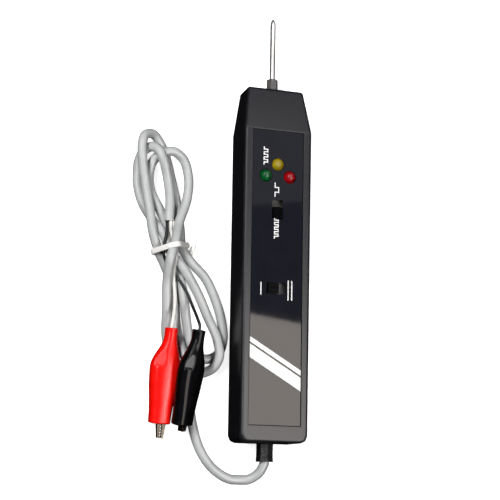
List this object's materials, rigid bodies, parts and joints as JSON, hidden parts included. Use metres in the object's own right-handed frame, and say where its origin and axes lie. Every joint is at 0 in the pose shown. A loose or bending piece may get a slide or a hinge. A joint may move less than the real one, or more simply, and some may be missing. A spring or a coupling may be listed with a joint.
{
  "type": "logic probe",
  "caption": "Flat hand-held logic probe with a bare needle, indicator lenses, slide switches and a tied supply lead ending in insulated spring clips.",
  "frame": {"origin": "middle of the probe's length and width, on the plane its flat back lies on, the lead left out", "axes": "+Y along the probe towards the needle point, +Z out of the labelled front, +X to the right as the label is seen with the needle up"},
  "size_m": [0.0697, 0.1897, 0.0194],
  "materials": {
    "case_plastic": "fine moulded texture",
    "label_film": "glossy screen-printed film",
    "screw_steel": "zinc plated",
    "needle_steel": "nickel plated, drawn",
    "collar_plastic": "moulded, mid grey",
    "socket_brass": "turned",
    "board_laminate": "solder-masked laminate",
    "yellow_lens": "cast tinted epoxy",
    "green_lens": "cast tinted epoxy",
    "red_lens": "cast tinted epoxy",
    "tinned_wire": "tinned",
    "switch_sheet": "plated sheet",
    "switch_phenolic": "punched laminate",
    "slider_nylon": "moulded",
    "knob_plastic": "moulded",
    "chip_epoxy": "transfer moulded",
    "resistor_lacquer": "lacquered",
    "capacitor_sleeve": "shrunk sleeve",
    "diode_epoxy": "moulded",
    "inner_insulation": "extruded",
    "gland_vinyl": "moulded, dark grey",
    "cable_jacket": "extruded, light grey",
    "white_insulation": "extruded",
    "black_insulation": "extruded",
    "tie_plastic": "extruded strip, off-white",
    "red_vinyl": "dipped, glossy",
    "black_vinyl": "dipped, satin",
    "jaw_steel": "nickel plated, pressed",
    "pin_steel": "turned",
    "spring_wire": "drawn"
  },
  "bodies": {
    "probe": {"front_shell": "case_plastic", "rear_cover": "case_plastic", "label_overlay": "label_film", "case_screws": "screw_steel", "probe_needle": "needle_steel", "needle_collar": "collar_plastic", "needle_socket": "socket_brass", "circuit_board": "board_laminate", "led_yellow": "yellow_lens", "led_green": "green_lens", "led_red": "red_lens", "led_leads": "tinned_wire", "mode_switch_can": "switch_sheet", "mode_switch_base": "switch_phenolic", "mode_switch_terminals": "tinned_wire", "level_switch_can": "switch_sheet", "level_switch_base": "switch_phenolic", "level_switch_terminals": "tinned_wire", "comparator_chip": "chip_epoxy", "counter_chip": "chip_epoxy", "chip_legs": "tinned_wire", "resistors": "resistor_lacquer", "capacitor": "capacitor_sleeve", "diode": "diode_epoxy", "inner_leads": "inner_insulation", "strain_relief": "gland_vinyl", "lead_cable": "cable_jacket", "white_wire": "white_insulation", "black_wire": "black_insulation", "cable_tie": "tie_plastic", "red_boot": "red_vinyl", "red_fixed_jaw": "jaw_steel", "red_pivot_pin": "pin_steel", "red_spring": "spring_wire", "black_boot": "black_vinyl", "black_fixed_jaw": "jaw_steel", "black_pivot_pin": "pin_steel", "black_spring": "spring_wire"},
    "mode_slide": {"mode_switch_slider": "slider_nylon", "mode_switch_knob": "knob_plastic"},
    "level_slide": {"level_switch_slider": "slider_nylon", "level_switch_knob": "knob_plastic"},
    "red_jaw": {"red_moving_jaw": "jaw_steel"},
    "black_jaw": {"black_moving_jaw": "jaw_steel"}
  },
  "joints": [
    {"name": "mode_switch_slide", "type": "slide", "parent": "probe", "child": "mode_slide", "axis": [0, 1, 0], "range_m": [0, 0.0028]},
    {"name": "level_switch_slide", "type": "slide", "parent": "probe", "child": "level_slide", "axis": [1, 0, 0], "range_m": [0, 0.0028]},
    {"name": "red_jaw_hinge", "type": "hinge", "parent": "probe", "child": "red_jaw", "pos_m": [-0.04081, -0.06562, 0.00608], "axis": [0.0073, 0.139, -0.9903], "range_deg": [0, 10], "stiffness_Nm_per_rad": 0.01, "springref_deg": -11.46, "deforming": ["red_spring"]},
    {"name": "black_jaw_hinge", "type": "hinge", "parent": "probe", "child": "black_jaw", "pos_m": [-0.03219, -0.06326, 0.01081], "axis": [-0.5541, 0.2474, -0.7948], "range_deg": [0, 8], "stiffness_Nm_per_rad": 0.01, "springref_deg": -11.46, "deforming": ["black_spring"]}
  ]
}
